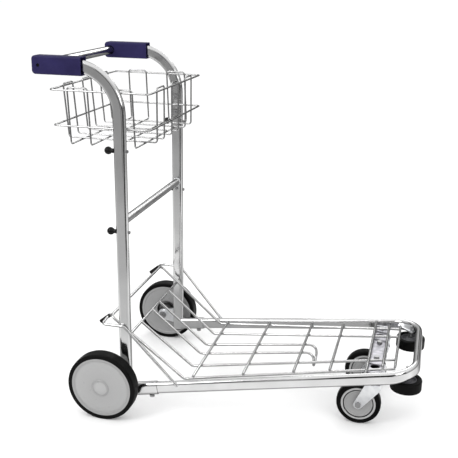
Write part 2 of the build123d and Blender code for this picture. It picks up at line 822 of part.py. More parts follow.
def caster_beam():
    """Rectangular tube between the rails that carries both casters, with access holes on top."""
    beam_end = rail_y(CASTER_KINGPIN_X) - TUBE_WIDTH / 2
    middle = Pos(CASTER_KINGPIN_X, 0, BEAM_TOP_Z - BEAM_HEIGHT / 2)
    wall = 2.0
    beam = middle * Box(BEAM_WIDTH, 2 * beam_end, BEAM_HEIGHT)
    beam -= middle * Box(BEAM_WIDTH - 2 * wall, 2 * beam_end + 2, BEAM_HEIGHT - 2 * wall)
    for side in (-1, 1):
        y = side * CASTER_Y
        beam -= cylinder(13, (CASTER_KINGPIN_X, y, BEAM_TOP_Z - 5), (CASTER_KINGPIN_X, y, BEAM_TOP_Z + 5))
        beam -= cylinder(
            11, (CASTER_KINGPIN_X, y, BEAM_BOTTOM_Z - 1), (CASTER_KINGPIN_X, y, BEAM_BOTTOM_Z + 5)
        )
        for step in (-MOUNT_BOLT_STEP, MOUNT_BOLT_STEP):
            beam -= cylinder(
                BOLT_HOLE_RADIUS,
                (CASTER_KINGPIN_X, y + step, BEAM_BOTTOM_Z - 1),
                (CASTER_KINGPIN_X, y + step, BEAM_TOP_Z + 1),
            )
    return largest(beam - rail_outline())


def caster_mount():
    """Top plate of a caster, bolted under the beam."""
    plane = Plane.XY.offset(MOUNT_BOTTOM_Z) * Pos(CASTER_KINGPIN_X, CASTER_Y)
    plate = extrude(plane * RectangleRounded(56, 2 * MOUNT_BOLT_STEP + 22, 8), MOUNT_THICKNESS)
    plate -= cylinder(
        KINGPIN_RADIUS,
        (CASTER_KINGPIN_X, CASTER_Y, MOUNT_BOTTOM_Z - 1),
        (CASTER_KINGPIN_X, CASTER_Y, BEAM_TOP_Z),
    )
    for step in (-MOUNT_BOLT_STEP, MOUNT_BOLT_STEP):
        plate -= cylinder(
            BOLT_HOLE_RADIUS,
            (CASTER_KINGPIN_X, CASTER_Y + step, MOUNT_BOTTOM_Z - 1),
            (CASTER_KINGPIN_X, CASTER_Y + step, BEAM_TOP_Z),
        )
    return plate


def mount_bolts():
    """Two bolts and nuts per caster, through plate and beam."""
    bolts = []
    for step in (-MOUNT_BOLT_STEP, MOUNT_BOLT_STEP):
        y = CASTER_Y + step
        bolt = cylinder(
            BOLT_RADIUS, (CASTER_KINGPIN_X, y, MOUNT_BOTTOM_Z - 5), (CASTER_KINGPIN_X, y, BEAM_TOP_Z + 1)
        )
        bolt += cylinder(8, (CASTER_KINGPIN_X, y, BEAM_TOP_Z), (CASTER_KINGPIN_X, y, BEAM_TOP_Z + 1.5))
        bolt += hexagon(
            13, (CASTER_KINGPIN_X, y, BEAM_TOP_Z + 1.4), (CASTER_KINGPIN_X, y, BEAM_TOP_Z + 6.8)
        )
        bolt += hexagon(13, (CASTER_KINGPIN_X, y, MOUNT_BOTTOM_Z - 6), (CASTER_KINGPIN_X, y, MOUNT_BOTTOM_Z))
        bolts.append(bolt)
    return bolts


def kingpin():
    """Pin that the fork swivels on, riveted through the top plate, its nut below the head."""
    top = BEAM_BOTTOM_Z + 4
    bottom = HEAD_TOP_Z - 12
    pin = cylinder(
        KINGPIN_RADIUS - RUNNING_CLEARANCE,
        (CASTER_KINGPIN_X, CASTER_Y, bottom),
        (CASTER_KINGPIN_X, CASTER_Y, top - 3),
    )
    head = cylinder(9.5, (CASTER_KINGPIN_X, CASTER_Y, BEAM_BOTTOM_Z), (CASTER_KINGPIN_X, CASTER_Y, top))
    race = cylinder(
        16, (CASTER_KINGPIN_X, CASTER_Y, MOUNT_BOTTOM_Z - 2), (CASTER_KINGPIN_X, CASTER_Y, MOUNT_BOTTOM_Z)
    )
    nut = hexagon(
        16, (CASTER_KINGPIN_X, CASTER_Y, bottom), (CASTER_KINGPIN_X, CASTER_Y, bottom + 6)
    )
    return pin + head + race + nut


def fork():
    """Pressed fork: swivel head with its ball race bowl and two legs down to the axle."""
    centre = (CASTER_KINGPIN_X, CASTER_Y, 0)
    crown_bottom = HEAD_TOP_Z - 3.0
    head = turned(
        [
            (KINGPIN_RADIUS, crown_bottom),
            (30, crown_bottom),
            (30, HEAD_TOP_Z),
            (27, HEAD_TOP_Z + 3.5),
            (17, HEAD_TOP_Z + 3.5),
            (17, HEAD_TOP_Z + 1),
            (KINGPIN_RADIUS, HEAD_TOP_Z + 1),
        ],
        centre,
        (0, 0, 1),
    )
    outline = hull_of(
        Pos(CASTER_WHEEL_X, CASTER_RADIUS) * Circle(13),
        Pos(FORK_MIDDLE_X, crown_bottom - FORK_SHOULDER / 2) * Rectangle(FORK_LENGTH, FORK_SHOULDER),
    )
    legs = []
    for side in (-1, 1):
        start = CASTER_Y + side * (FORK_GAP + FORK_SHEET / 2) + FORK_SHEET / 2
        legs.append(extrude(Plane.XZ.offset(-start) * outline, FORK_SHEET))
    crown_width = 2 * (FORK_GAP + FORK_SHEET)
    crown = Pos(FORK_MIDDLE_X, CASTER_Y, crown_bottom - FORK_SHEET / 2) * Box(
        FORK_LENGTH, crown_width, FORK_SHEET
    )
    body = head + legs[0] + legs[1] + crown
    pin_reach = crown_width / 2 + 1
    body -= cylinder(
        PIN_RADIUS,
        (CASTER_WHEEL_X, CASTER_Y - pin_reach, CASTER_RADIUS),
        (CASTER_WHEEL_X, CASTER_Y + pin_reach, CASTER_RADIUS),
    )
    return body - cylinder(
        KINGPIN_RADIUS,
        (CASTER_KINGPIN_X, CASTER_Y, crown_bottom - 10),
        (CASTER_KINGPIN_X, CASTER_Y, BEAM_TOP_Z),
    )


def caster_pin():
    """Wheel axle bolt with its head and nut outside the fork's legs."""
    leg = FORK_GAP + FORK_SHEET
    at = (CASTER_WHEEL_X, CASTER_RADIUS)
    bolt = cylinder(
        PIN_RADIUS - RUNNING_CLEARANCE,
        (at[0], CASTER_Y - leg - 7, at[1]),
        (at[0], CASTER_Y + leg + 5, at[1]),
    )
    head = hexagon(15, (at[0], CASTER_Y + leg, at[1]), (at[0], CASTER_Y + leg + 5, at[1]))
    nut = hexagon(15, (at[0], CASTER_Y - leg - 6, at[1]), (at[0], CASTER_Y - leg, at[1]))
    return bolt + head + nut


def caster_turned(points):
    return turned(points, (CASTER_WHEEL_X, CASTER_Y, CASTER_RADIUS), (0, 1, 0))


def caster_bush():
    """Sleeve between the axle bolt and the wheel's hub."""
    half = CASTER_WIDTH / 2 + 1.5
    return caster_turned(
        [(PIN_RADIUS, -half), (BUSH_RADIUS, -half), (BUSH_RADIUS, half), (PIN_RADIUS, half)]
    )


def caster_hub():
    """Moulded wheel centre: a raised rim, a groove inside it, then a dished web round the boss."""
    half = CASTER_WIDTH / 2
    side = [
        (BUSH_RADIUS, half),
        (15, half),
        (17, half - 3),
        (20, half - 4),
        (34, half - 4),
        (37, half - 2),
        (GROOVE_INNER_RADIUS, half - 2),
        (GROOVE_INNER_RADIUS, half - GROOVE_DEPTH),
        (GROOVE_OUTER_RADIUS, half - GROOVE_DEPTH),
        (GROOVE_OUTER_RADIUS, half - 1),
        (CASTER_HUB_RADIUS - 1, half - 0.6),
        (CASTER_HUB_RADIUS, half - 1.6),
    ]
    return caster_turned([(r, -y) for r, y in side] + side[::-1])


def caster_tyre():
    half = CASTER_WIDTH / 2
    side = [
        (CASTER_HUB_RADIUS, half - 1.6),
        (CASTER_HUB_RADIUS + 1.5, half - 0.8),
        (CASTER_RADIUS - 5, half - 1.0),
        (CASTER_RADIUS - 2, half - 2.6),
        (CASTER_RADIUS - 0.6, half - 5.5),
        (CASTER_RADIUS, half - 10),
    ]
    return caster_turned([(r, -y) for r, y in side] + side[::-1])


# Bumper rollers -------------------------------------------------------------------------------

BUMPER_BOLT_RADIUS = 3.5
BUMPER_BORE_RADIUS = BUMPER_BOLT_RADIUS + RUNNING_CLEARANCE
BUMPER_HUB_RADIUS = 28.0
BUMPER_TOP_Z = BUMPER_BOTTOM_Z + BUMPER_HEIGHT
BUMPER_LUG_Z = 190.0
BUMPER_LUG_THICKNESS = 4.0
BUMPER_STUD_RISE = 14.0  # how far the stud stands above its lug


def bumper_turned(points):
    return turned(points, (BUMPER_X, BUMPER_Y, BUMPER_BOTTOM_Z), (0, 0, 1))


def bumper_lug():
    """Plate welded inside the rail's front corner, with the hole for the roller's stud."""
    plane = Plane.XY.offset(BUMPER_LUG_Z)
    outline = hull_of(
        Pos(BUMPER_X, BUMPER_Y) * Circle(10),
        Pos(BUMPER_X - 34, BUMPER_Y + 28) * Circle(8),
    )
    plate = extrude(plane * outline, BUMPER_LUG_THICKNESS)
    bore = cylinder(
        BUMPER_BOLT_RADIUS,
        (BUMPER_X, BUMPER_Y, BUMPER_LUG_Z - 1),
        (BUMPER_X, BUMPER_Y, BUMPER_LUG_Z + BUMPER_LUG_THICKNESS + 1),
    )
    return largest(plate - rail_outline() - bore)


def bumper_bolt():
    """Stud through the lug that carries the roller between a washer and a head."""
    at = (BUMPER_X, BUMPER_Y)
    bottom = BUMPER_BOTTOM_Z + 4
    top = BUMPER_LUG_Z + BUMPER_LUG_THICKNESS + BUMPER_STUD_RISE
    bolt = cylinder(BUMPER_BOLT_RADIUS, (*at, bottom), (*at, top))
    bolt += cylinder(9, (*at, bottom - 3), (*at, bottom))
    return bolt + cylinder(9, (*at, BUMPER_TOP_Z + 1), (*at, BUMPER_TOP_Z + 5))


def bumper_hub():
    """Moulded centre with a recessed web."""
    return bumper_turned(
        [
            (BUMPER_BORE_RADIUS, 5),
            (13, 5),
            (15, 9),
            (BUMPER_HUB_RADIUS - 4, 9),
            (BUMPER_HUB_RADIUS - 2, 2),
            (BUMPER_HUB_RADIUS, 2),
            (BUMPER_HUB_RADIUS, BUMPER_HEIGHT - 1.5),
            (BUMPER_HUB_RADIUS - 2, BUMPER_HEIGHT - 1),
            (BUMPER_HUB_RADIUS - 4, BUMPER_HEIGHT - 8),
            (15, BUMPER_HEIGHT - 8),
            (13, BUMPER_HEIGHT),
            (BUMPER_BORE_RADIUS, BUMPER_HEIGHT),
        ]
    )


def bumper_tyre():
    inner = BUMPER_HUB_RADIUS
    outer = BUMPER_RADIUS
    return bumper_turned(
        [
            (inner, 1.0),
            (inner + 4, 0),
            (outer - 2.5, 0),
            (outer - 0.8, 0.8),
            (outer, 2.5),
            (outer, BUMPER_HEIGHT - 2.5),
            (outer - 0.8, BUMPER_HEIGHT - 0.8),
            (outer - 2.5, BUMPER_HEIGHT),
            (inner + 4, BUMPER_HEIGHT),
            (inner, BUMPER_HEIGHT - 1.0),
        ]
    )


# Nodes ----------------------------------------------------------------------------------------


def save_pair(name, shape):
    """One node on each side: the shape is the left-hand one."""
    save(f"{name}_left", shape)
    save(f"{name}_right", mirrored(shape))


def save_frame():
    save_pair("upright", upright())
    save("platform_rail", platform_rail())
    save("rail_sockets", *both_sides(rail_socket()))
    save("socket_bolts", *both_sides(socket_bolt()))
    save("foot_plugs", *both_sides(foot_plug()))
    save("handle_crossbar", handle_crossbar())
    save_pair("grip", grip())
    save("grip_screws", *both_sides(grip_screw()))
    save("brace_tube", brace_tube())
    save("brace_brackets", *both_sides(brace_bracket()))
    save("brace_screws", *both_sides(brace_screw()))
    save("knobs", *[shape for z in KNOB_HEIGHTS for shape in both_sides(knob(z))])
    save("knob_bolts", *[shape for z in KNOB_HEIGHTS for shape in both_sides(knob_bolt(z))])


def save_basket():
    save("basket_rim", basket_ring(BASKET_RIM_Z))
    save("basket_band", basket_ring(BASKET_BAND_Z))
    save("basket_cross_loops", *basket_cross_loops())
    save("basket_long_loops", *basket_long_loops())
    save("basket_tabs", *[shape for z in TAB_HEIGHTS for shape in both_sides(basket_tab(z))])
    seat = BASKET_HALF_WIDTH + BASKET_RIM_WIRE / 2
    save("basket_screws", *[shape for z in TAB_HEIGHTS for shape in both_sides(inner_screw(seat, z))])


def save_deck():
    save("deck_hoop", deck_hoop())
    save("deck_long_wires", *both_sides(deck_long_wire()))
    save("deck_hairpin", deck_hairpin())
    save("deck_top_bar", deck_top_bar())
    save("deck_cross_wires", *deck_cross_wires())
    save("stay_rods", *both_sides(stay_rod()))
    save("stop_sleeves", *both_sides(stop_sleeve()))


def save_rear_wheels():
    save("axle_brackets", *both_sides(axle_bracket()))
    save("wheel_axles", *both_sides(wheel_axle()))
    save("axle_nuts", *both_sides(axle_nut()))
    save("axle_clips", *both_sides(axle_clip()))
    save_pair("wheel_disc", wheel_disc())
    save_pair("wheel_tyre", wheel_tyre())
    save_pair("hub_cap", hub_cap())
    bearings = wheel_bearings()
    save("wheel_bearings_left", *bearings)
    save("wheel_bearings_right", *[mirrored(bearing) for bearing in bearings])


def save_casters():
    save("caster_beam", caster_beam())
    save("caster_mounts", *both_sides(caster_mount()))
    save("mount_bolts", *[shape for bolt in mount_bolts() for shape in both_sides(bolt)])
    save("kingpins", *both_sides(kingpin()))
    save_pair("fork", fork())
    save_pair("caster_pin", caster_pin())
    save_pair("caster_hub", caster_hub())
    save_pair("caster_bush", caster_bush())
    save_pair("caster_tyre", caster_tyre())


def save_bumpers():
    save("bumper_lugs", *both_sides(bumper_lug()))
    save("bumper_bolts", *both_sides(bumper_bolt()))
    save_pair("bumper_hub", bumper_hub())
    save_pair("bumper_tyre", bumper_tyre())


def main():
    os.makedirs("parts", exist_ok=True)
    save_frame()
    save_basket()
    save_deck()
    save_rear_wheels()
    save_casters()
    save_bumpers()


main()
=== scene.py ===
"""Luggage cart: materials, weld beads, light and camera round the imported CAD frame."""

import json
from math import cos, pi, radians, sin
from random import Random

import bpy
from mathutils import Matrix, Vector


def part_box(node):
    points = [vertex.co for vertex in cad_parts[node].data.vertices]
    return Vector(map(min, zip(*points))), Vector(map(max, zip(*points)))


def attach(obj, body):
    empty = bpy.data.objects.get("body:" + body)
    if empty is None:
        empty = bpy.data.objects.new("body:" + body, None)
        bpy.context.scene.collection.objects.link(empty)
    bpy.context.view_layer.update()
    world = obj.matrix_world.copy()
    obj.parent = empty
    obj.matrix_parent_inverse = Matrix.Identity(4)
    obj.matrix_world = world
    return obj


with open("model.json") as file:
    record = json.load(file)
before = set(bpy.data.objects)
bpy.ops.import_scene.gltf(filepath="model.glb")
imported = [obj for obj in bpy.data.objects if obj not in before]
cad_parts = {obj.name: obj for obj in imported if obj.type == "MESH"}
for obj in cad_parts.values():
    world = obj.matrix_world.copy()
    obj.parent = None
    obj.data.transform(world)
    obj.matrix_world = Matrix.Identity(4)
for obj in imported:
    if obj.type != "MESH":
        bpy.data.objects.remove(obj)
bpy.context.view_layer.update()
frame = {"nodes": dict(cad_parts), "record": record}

JOINT_PLACES = {joint["name"]: joint["pos_m"] for joint in frame["record"]["behaviour"]["joints"]}
SLOT_OF_NODE = {part["node"]: part["material_slot"] for part in frame["record"]["subparts"]}


# Node trees -----------------------------------------------------------------------------------


def grey(value):
    return (value, value, value, 1.0)


class Nodes:
    """A node tree, with short calls for adding and linking its nodes."""

    def __init__(self, tree):
        self.tree = tree

    def add(self, kind, settings=None, **inputs):
        """A new node: settings are its properties, inputs are values or sockets by input name."""
        node = self.tree.nodes.new(kind)
        for name, value in (settings or {}).items():
            setattr(node, name, value)
        self.fill(node, **inputs)
        return node

    def fill(self, node, **inputs):
        """Inputs of a node, by name with _ for each space."""
        for name, value in inputs.items():
            self.put(node.inputs[name.replace("_", " ")], value)

    def put(self, socket, value):
        if isinstance(value, bpy.types.NodeSocket):
            self.tree.links.new(value, socket)
        else:
            socket.default_value = value

    def operate(self, kind, operation, operands):
        """A new node that works on its operands in order."""
        node = self.add(kind, {"operation": operation})
        for socket, value in zip(node.inputs, operands):
            self.put(socket, value)
        return node

    def math(self, operation, *operands):
        return self.operate("ShaderNodeMath", operation, operands).outputs["Value"]

    def vector_math(self, operation, *operands):
        return self.operate("ShaderNodeVectorMath", operation, operands).outputs["Vector"]

    def length(self, vector):
        return self.operate("ShaderNodeVectorMath", "LENGTH", (vector,)).outputs["Value"]

    def ranged(self, value, low, high, from_low=0.3, from_high=0.7):
        """The range from_low to from_high, which suits most noise, carried to low to high."""
        limits = {"From_Min": from_low, "From_Max": from_high, "To_Min": low, "To_Max": high}
        return self.add("ShaderNodeMapRange", Value=value, **limits).outputs["Result"]

    def stepped(self, value, steps):
        """A grey that follows (position, grey) steps."""
        node = self.add("ShaderNodeValToRGB", Fac=value)
        elements = node.color_ramp.elements
        while len(elements) < len(steps):
            elements.new(0.5)  # its place is set below
        for element, (position, tone) in zip(elements, steps):
            element.position = position
            element.color = grey(tone)
        return node.outputs["Color"]

    def mixed(self, factor, first, second):
        """A colour between two colours."""
        mix = self.add("ShaderNodeMix", {"data_type": "RGBA"}, Factor=factor, A=first, B=second)
        return mix.outputs["Result"]

    def is_reflected(self):
        """1 for rays that something glossy reflects, 0 for all others."""
        return self.add("ShaderNodeLightPath").outputs["Is Glossy Ray"]


class Shader(Nodes):
    """The nodes of one new material, with its surface shader and its textures."""

    def __init__(self, name):
        self.material = bpy.data.materials.new(name)
        self.material.use_nodes = True
        super().__init__(self.material.node_tree)
        self.place = self.add("ShaderNodeTexCoord").outputs["Object"]

    def set(self, **inputs):
        """Inputs of the surface shader."""
        self.fill(self.tree.nodes["Principled BSDF"], **inputs)

    def stretched(self, scale):
        """Object coordinates scaled by axis, so that a texture runs along one direction."""
        return self.add("ShaderNodeMapping", Vector=self.place, Scale=scale).outputs["Vector"]

    def noise(self, scale, detail=3.0, place=None):
        source = self.place if place is None else place
        node = self.add("ShaderNodeTexNoise", Vector=source, Scale=scale, Detail=detail)
        return node.outputs["Fac"]

    def cells(self, scale):
        node = self.add("ShaderNodeTexVoronoi", Vector=self.place, Scale=scale)
        return node.outputs["Distance"]

    def bump(self, height, strength, distance):
        node = self.add("ShaderNodeBump", Height=height, Strength=strength, Distance=distance)
        return node.outputs["Normal"]


# Materials ------------------------------------------------------------------------------------

SMOOTH_ANGLE = radians(32)
PAINTED_EDGE_SHADE = 0.30  # painted edge shade: bright metal seen edge-on mirrors the dark ends of the studio, and that is painted into the colour
EDGE_REACH = 0.85  # share of that tone at the very edge
EDGE_FACING = (0.6, 0.95)  # how far a surface is turned away where the edge tone starts and is full
PLASTIC_WEAR = 0.08  # roughness that handling adds or takes away
FINE_GRAIN = 0.0004  # bump height of plastic and rubber
TONE_BLUR = 0.012  # share of the radius by which the steps of tone waver
DISC_RADIUS = 0.088
CASTER_HUB_RADIUS = 0.049
ACROSS_AXLE = (1, 0, 1)  # leaves out the distance along the axle

# (share of the radius, grey) from a wheel's axle outwards
DISC_TONES = (
    (0.0, 0.36),
    (0.2, 0.35),
    (0.24, 0.26),
    (0.33, 0.31),
    (0.85, 0.33),
    (0.93, 0.26),
    (1.0, 0.31),
)
# Inner face of the rear wheels: painted shade makes it darker than the outer face; darker still near the
# axle, with a near-black band round the hub recess
DISC_INNER_SHADED_TONES = (
    (0.0, 0.08),
    (0.24, 0.05),
    (0.26, 0.004),
    (0.38, 0.004),
    (0.40, 0.24),
    (1.0, 0.27),
)
CASTER_TONES = (
    (0.0, 0.36),
    (0.35, 0.27),
    (0.80, 0.30),
    (0.83, 0.01),
    (0.875, 0.01),
    (0.90, 0.40),
    (1.0, 0.36),
)


def bright_metal(name, light, dark, roughness, stretch=(1, 1, 1)):
    """Polished or plated steel: streaks, smudges, a slow change of tone, and darker edges that are a
    painted reflection of the studio's dark ends.
    """
    shader = Shader(name)
    smudge = shader.noise(scale=23.0, detail=4.0)
    streaks = shader.noise(scale=900.0, detail=2.0, place=shader.stretched(stretch))
    cloud = shader.ranged(shader.noise(scale=9.0), 0.0, 1.0)
    facing = shader.add("ShaderNodeLayerWeight", Blend=0.5).outputs["Facing"]
    # painted shade: the colour darkens towards the edges in place of mirrored dark surroundings
    edge = shader.ranged(facing, 0.0, EDGE_REACH, *EDGE_FACING)
    face_tone = shader.mixed(cloud, grey(dark), grey(light))
    shader.set(
        Base_Color=shader.mixed(edge, face_tone, grey(PAINTED_EDGE_SHADE)),
        Metallic=1.0,
        Specular_Tint=grey(PAINTED_EDGE_SHADE),
        Roughness=shader.ranged(smudge, *roughness),
        Normal=shader.bump(streaks, strength=0.08, distance=0.0002),
    )
    return shader.material


def zinc_metal(name, light, dark):
    """Zinc-plated pressed steel: satin, with cloudy patches and fine grain."""
    shader = Shader(name)
    cloud = shader.noise(scale=60.0, detail=6.0)
    grain = shader.noise(scale=1400.0, detail=2.0)
    shader.set(
        Base_Color=shader.mixed(shader.ranged(cloud, 0.0, 1.0), dark, light),
        Metallic=1.0,
        Roughness=shader.ranged(cloud, 0.42, 0.28),
        Normal=shader.bump(grain, strength=0.15, distance=0.0003),
    )
    return shader.material


def worn(shader, roughness):
    """Roughness that handling has changed in patches."""
    wear = shader.noise(scale=70.0, detail=6.0)
    return shader.ranged(wear, roughness - PLASTIC_WEAR, roughness + PLASTIC_WEAR)


def moulded_plastic(name, light, dark, roughness, grain_scale, grain_strength, shine):
    """Moulded plastic: fine surface grain, handling marks in the gloss, slight tone change."""
    shader = Shader(name)
    cloud = shader.ranged(shader.noise(scale=14.0, detail=5.0), 0.0, 1.0)
    shader.set(
        Base_Color=shader.mixed(cloud, dark, light),
        Roughness=worn(shader, roughness),
        Normal=shader.bump(shader.cells(grain_scale), grain_strength, FINE_GRAIN),
        Specular_IOR_Level=shine,
    )
    return shader.material


def wheel_centre(name, joint, radius, outer_tones, inner_tones, roughness):
    """Moulded wheel centre: on each face its tone follows the distance from the axle; the inner face
    takes its own tones, which on the rear wheels carry painted shade.
    """
    shader = Shader(name)
    axle = JOINT_PLACES[joint]
    offset = shader.vector_math("SUBTRACT", shader.place, axle)
    from_axle = shader.length(shader.vector_math("MULTIPLY", offset, ACROSS_AXLE))
    share = shader.ranged(from_axle, 0.0, 1.0, from_low=0.0, from_high=radius)
    blur = shader.ranged(shader.noise(scale=60.0, detail=6.0), -TONE_BLUR, TONE_BLUR)
    share = shader.math("ADD", share, blur)
    sideways = shader.add("ShaderNodeSeparateXYZ", Vector=shader.place).outputs["Y"]
    is_outer = shader.math("GREATER_THAN", shader.math("ABSOLUTE", sideways), abs(axle[1]))
    inner = shader.stepped(share, inner_tones)
    outer = shader.stepped(share, outer_tones)
    shader.set(
        # painted shade: the inner face can take darker tones than the outer one
        Base_Color=shader.mixed(is_outer, inner, outer),
        Roughness=worn(shader, roughness),
        Normal=shader.bump(shader.cells(scale=1200.0), strength=0.12, distance=FINE_GRAIN),
        Specular_IOR_Level=0.4,
    )
    return shader.material


def rubber(name):
    """Black rubber with a dusty bloom and fine pores."""
    shader = Shader(name)
    bloom = shader.ranged(shader.noise(scale=35.0, detail=6.0), 0.0, 1.0, from_low=0.45, from_high=0.8)
    pores = shader.noise(scale=1100.0, detail=3.0)
    shader.set(
        Base_Color=shader.mixed(bloom, grey(0.001), grey(0.005)),
        Specular_IOR_Level=0.1,
        Roughness=shader.ranged(bloom, 0.42, 0.7, from_low=0.0, from_high=1.0),
        Normal=shader.bump(pores, strength=0.25, distance=FINE_GRAIN),
    )
    return shader.material


# Each material's maker and settings
MATERIAL_SETTINGS = {
    "chrome_tube": (
        bright_metal,
        {"light": 0.80, "dark": 0.66, "roughness": (0.06, 0.18), "stretch": (1, 1, 0.04)},
    ),
    "chrome_wire": (bright_metal, {"light": 0.66, "dark": 0.48, "roughness": (0.12, 0.24)}),
    "deck_wire": (bright_metal, {"light": 0.78, "dark": 0.60, "roughness": (0.12, 0.24)}),
    "satin_tube": (
        bright_metal,
        {"light": 0.86, "dark": 0.74, "roughness": (0.26, 0.38), "stretch": (1, 0.04, 1)},
    ),
    "beam_zinc": (zinc_metal, {"light": (0.58, 0.57, 0.61, 1.0), "dark": (0.30, 0.30, 0.32, 1.0)}),
    "zinc_steel": (zinc_metal, {"light": (0.93, 0.94, 0.95, 1.0), "dark": (0.80, 0.81, 0.83, 1.0)}),
    "fastener_steel": (zinc_metal, {"light": (0.50, 0.50, 0.50, 1.0), "dark": (0.32, 0.32, 0.33, 1.0)}),
    "grip_plastic": (
        moulded_plastic,
        {
            "light": (0.022, 0.018, 0.080, 1.0),
            "dark": (0.013, 0.010, 0.052, 1.0),
            "roughness": 0.45,
            "grain_scale": 1500.0,
            "grain_strength": 0.25,
            "shine": 0.15,
        },
    ),
    "black_plastic": (
        moulded_plastic,
        {
            "light": grey(0.006),
            "dark": grey(0.002),
            "roughness": 0.3,
            "grain_scale": 1500.0,
            "grain_strength": 0.1,
            "shine": 0.2,
        },
    ),
    "wheel_plastic": (
        wheel_centre,
        {
            "joint": "rear_wheel_right_spin",
            "radius": DISC_RADIUS,
            "outer_tones": DISC_TONES,
            "inner_tones": DISC_INNER_SHADED_TONES,
            "roughness": 0.35,
        },
    ),
    "caster_plastic": (
        wheel_centre,
        {
            "joint": "caster_right_roll",
            "radius": CASTER_HUB_RADIUS,
            "outer_tones": CASTER_TONES,
            "inner_tones": CASTER_TONES,
            "roughness": 0.40,
        },
    ),
    "bumper_plastic": (
        moulded_plastic,
        {
            "light": (0.16, 0.16, 0.17, 1.0),
            "dark": (0.08, 0.08, 0.09, 1.0),
            "roughness": 0.45,
            "grain_scale": 1200.0,
            "grain_strength": 0.15,
            "shine": 0.3,
        },
    ),
    "tyre_rubber": (rubber, {}),
}
MATERIALS = {name: make(name, **settings) for name, (make, settings) in MATERIAL_SETTINGS.items()}

# Nodes whose finish differs a little from the rest of their slot, and the grip screws, which are painted
# black as painted shade of the holes they sit in
FINISH_AND_SHADE_OF_NODE = {
    # painted shade: black for the dark hole round the screws
    "grip_screws": "black_plastic",
    "caster_beam": "beam_zinc",
    "brace_tube": "satin_tube",
    **{node: "deck_wire" for node in SLOT_OF_NODE if node.startswith(("deck_", "stay_"))},
}


def dress_cad_nodes():
    """Each CAD node takes its material, and smooth shading between its sharp edges."""
    for node, item in frame["nodes"].items():
        item.data.materials.clear()
        item.data.materials.append(MATERIALS[FINISH_AND_SHADE_OF_NODE.get(node, SLOT_OF_NODE[node])])
        item.data.shade_smooth()
        item.data.set_sharp_from_angle(angle=SMOOTH_ANGLE)


# Weld beads -----------------------------------------------------------------------------------

BEAD_SIDES = 10
RIPPLE_HEIGHT = 0.2  # share of the bead's radius
RIPPLE_TURN = 1.3  # radians of ripple from point to point
UNEVENNESS = 0.08  # share of the bead's radius
END_SIZE = 0.3  # share of the bead's radius at an open end
END_GROWTH = 5  # how fast an open end swells to the full radius
WELD_RANDOM = Random(7)

BRACE_BEAD_RADIUS = 0.002
BRACE_BEAD_POINTS = 72
BRACE_BEAD_INSET = 0.0008  # from the brace's end to the bead's centre

STAY_BEAD_RADIUS = 0.0018
STAY_BEAD_POINTS = 24
STAY_BEAD_LENGTH = 0.022
STAY_BEAD_INWARD = 0.0032  # from the stay's centre to the bead's, towards the middle of the cart
STAY_BEAD_RISE = 0.0022
STAY_FOOT_LENGTH = 0.006
STAY_RUN_NEAR = 0.05  # the straight run that gives the stay's direction, from its front end
STAY_RUN_FAR = 0.16

BEAM_BEAD_RADIUS = 0.0022
BEAM_BEAD_POINTS = 40
TOP_TOLERANCE = 0.0005
CORNER_TOLERANCE = 0.001


def bead_radius(index, count, radius, closed):
    """Radius of a bead at one of its points, with its ripple and, at an open end, its taper."""
    to_end = min(index, count - 1 - index)
    fade = 1.0 if closed else min(1.0, END_SIZE + END_GROWTH * to_end / count)
    unevenness = WELD_RANDOM.uniform(-UNEVENNESS, UNEVENNESS)
    return radius * fade * (1 + RIPPLE_HEIGHT * sin(RIPPLE_TURN * index) + unevenness)


def bead_vertices(points, upright, radius, closed):
    """A ring of vertices round each point."""
    count = len(points)
    vertices = []
    for index, point in enumerate(points):
        before = points[index - 1] if closed or index > 0 else point
        after = points[(index + 1) % count] if closed or index < count - 1 else point
        tangent = (after - before).normalized()
        across = tangent.cross(upright).normalized()
        rise = across.cross(tangent)
        size = bead_radius(index, count, radius, closed)
        for side in range(BEAD_SIDES):
            angle = 2 * pi * side / BEAD_SIDES
            vertices.append(point + size * (cos(angle) * across + sin(angle) * rise))
    return vertices


def bead_faces(count, closed):
    """Faces between neighbouring rings, and over the ends of an open bead."""
    faces = []
    for index in range(count if closed else count - 1):
        here = index * BEAD_SIDES
        there = (index + 1) % count * BEAD_SIDES
        for side in range(BEAD_SIDES):
            following = (side + 1) % BEAD_SIDES
            faces.append((here + side, here + following, there + following, there + side))
    if not closed:
        faces.append(tuple(reversed(range(BEAD_SIDES))))
        faces.append(tuple(range((count - 1) * BEAD_SIDES, count * BEAD_SIDES)))
    return faces


def weld_bead(name, points, upright, radius, closed=False):
    """Rippled bead along a line of points; upright is a direction that the line never follows."""
    mesh = bpy.data.meshes.new(name)
    mesh.from_pydata(bead_vertices(points, upright, radius, closed), [], bead_faces(len(points), closed))
    mesh.shade_smooth()
    mesh.materials.append(MATERIALS["zinc_steel"])
    piece = bpy.data.objects.new(name, mesh)
    bpy.context.scene.collection.objects.link(piece)
    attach(piece, "cart_frame")


def middle_of(points):
    return sum(points, Vector()) / len(points)


def line_points(start, end, count):
    return [start.lerp(end, step / (count - 1)) for step in range(count)]


def side_points(node, side):
    """A node's mesh points on one side of the cart: 1 is the left, -1 the right."""
    points = [vertex.co.copy() for vertex in frame["nodes"][node].data.vertices]
    return [point for point in points if point.y * side > 0]


def weld_brace_end(name, side):
    """Bead round the brace where it meets an upright."""
    low, high = (Vector(corner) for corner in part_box("brace_tube"))
    centre = (low + high) / 2
    radius = (high.z - low.z) / 2
    end = side * (high.y - BRACE_BEAD_INSET)
    ring = []
    for step in range(BRACE_BEAD_POINTS):
        angle = 2 * pi * step / BRACE_BEAD_POINTS
        ring.append(Vector((centre.x + radius * cos(angle), end, centre.z + radius * sin(angle))))
    weld_bead(name, ring, Vector((0, 1, 0)), BRACE_BEAD_RADIUS, closed=True)


